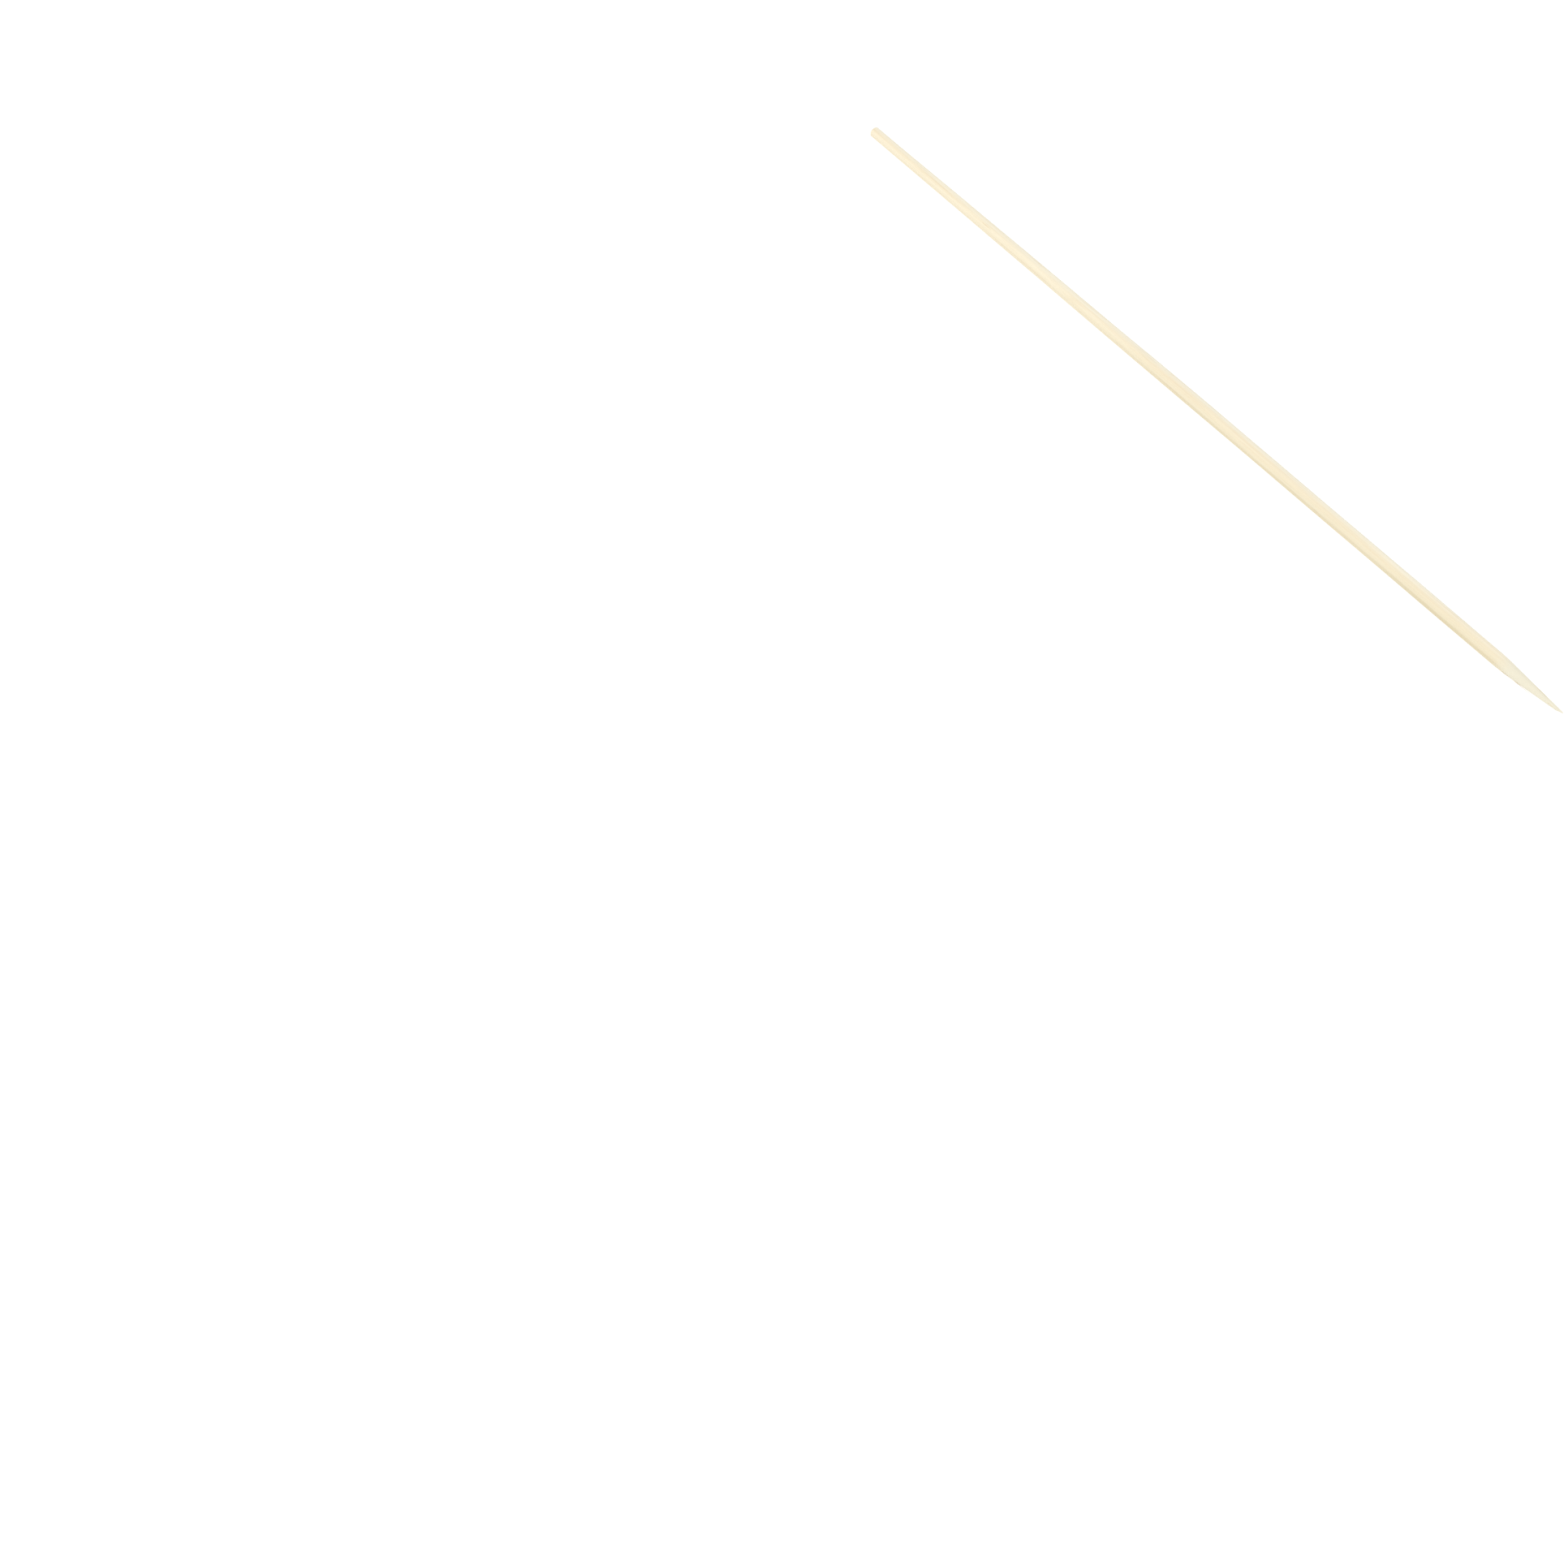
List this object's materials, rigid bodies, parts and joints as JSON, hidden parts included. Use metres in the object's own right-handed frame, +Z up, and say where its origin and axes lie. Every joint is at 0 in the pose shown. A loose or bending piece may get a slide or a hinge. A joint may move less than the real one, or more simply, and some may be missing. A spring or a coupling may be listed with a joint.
{
  "type": "bamboo skewer",
  "caption": "Slim round bamboo stick with a square, smoothed butt and a long ground point, for threading and grilling pieces of food.",
  "frame": {"origin": "on the surface that the stick lies on, under the middle of its box", "axes": "+X along the stick from the butt to the point, +Z up"},
  "size_m": [0.2, 0.0028, 0.0028],
  "materials": {
    "bamboo": "bare pale bamboo, tumbled smooth, with fine fibres along its length"
  },
  "bodies": {
    "root": {"skewer": "bamboo"}
  },
  "joints": []
}
